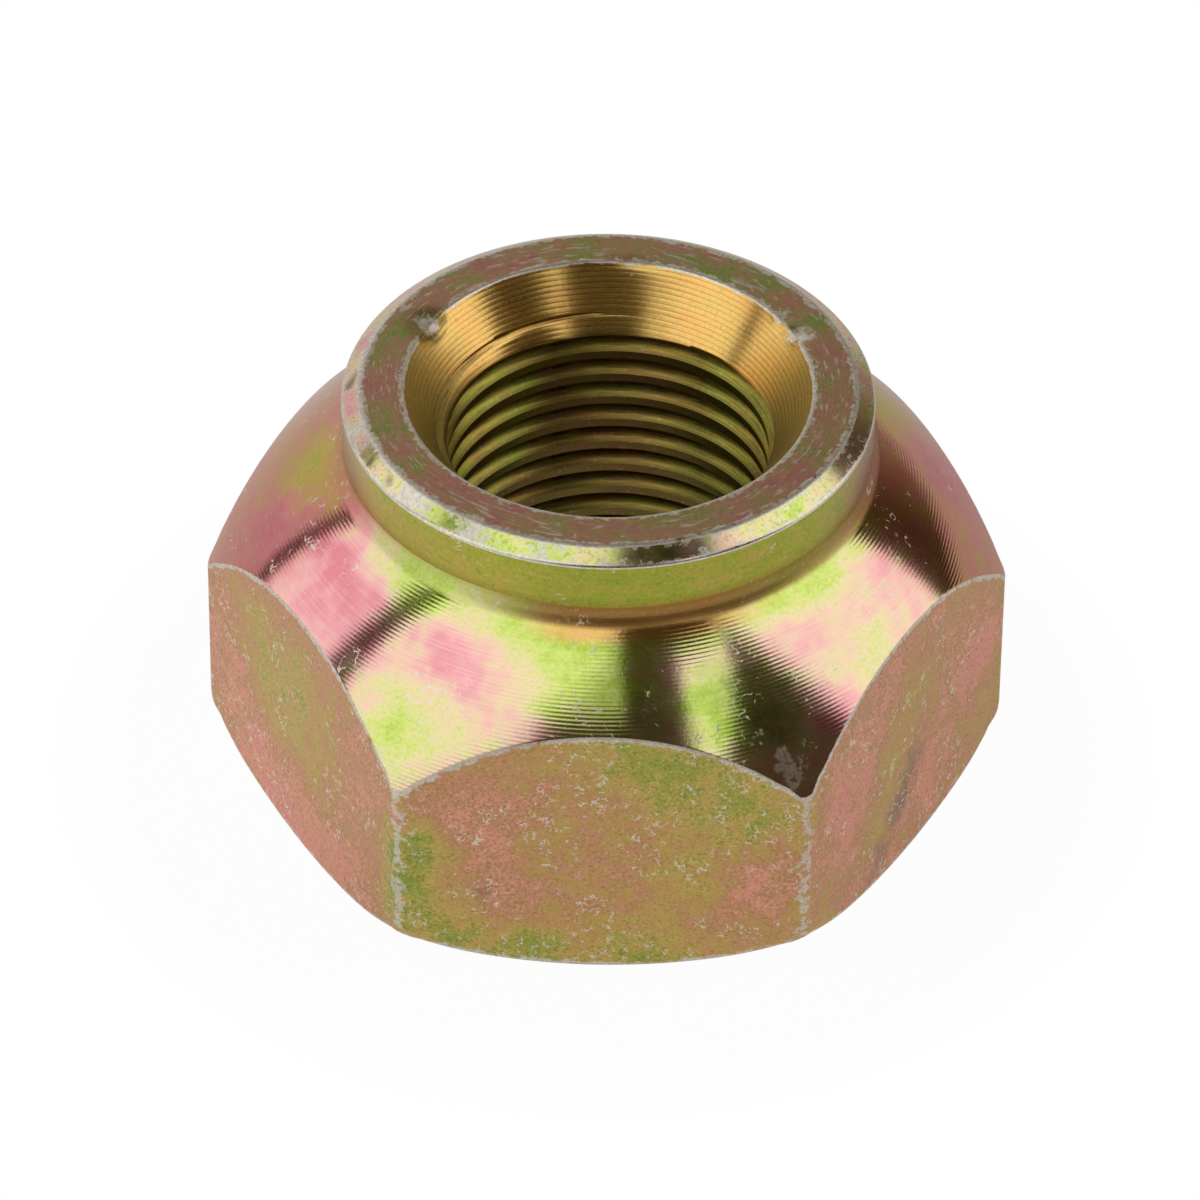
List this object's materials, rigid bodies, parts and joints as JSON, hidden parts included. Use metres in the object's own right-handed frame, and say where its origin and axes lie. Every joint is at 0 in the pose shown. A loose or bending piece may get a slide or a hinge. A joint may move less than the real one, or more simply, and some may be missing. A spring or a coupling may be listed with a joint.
{
  "type": "lug nut",
  "caption": "Hex wheel lug nut with a tapped through bore, a ball seat that bears on the wheel and a short collar that pilots it into the wheel's stud hole.",
  "frame": {"origin": "centre of the flat outer face, on the axis of the bore", "axes": "+Z along the bore, from the outer face to the collar; +X through a corner of the hex; -Y out of the hex flat that faces the picture's camera"},
  "size_m": [0.0436, 0.038, 0.0254],
  "materials": {
    "plating": "yellow chromate over zinc, turned and worn bright at the edges"
  },
  "bodies": {
    "root": {"lug_nut": "plating"}
  },
  "joints": []
}
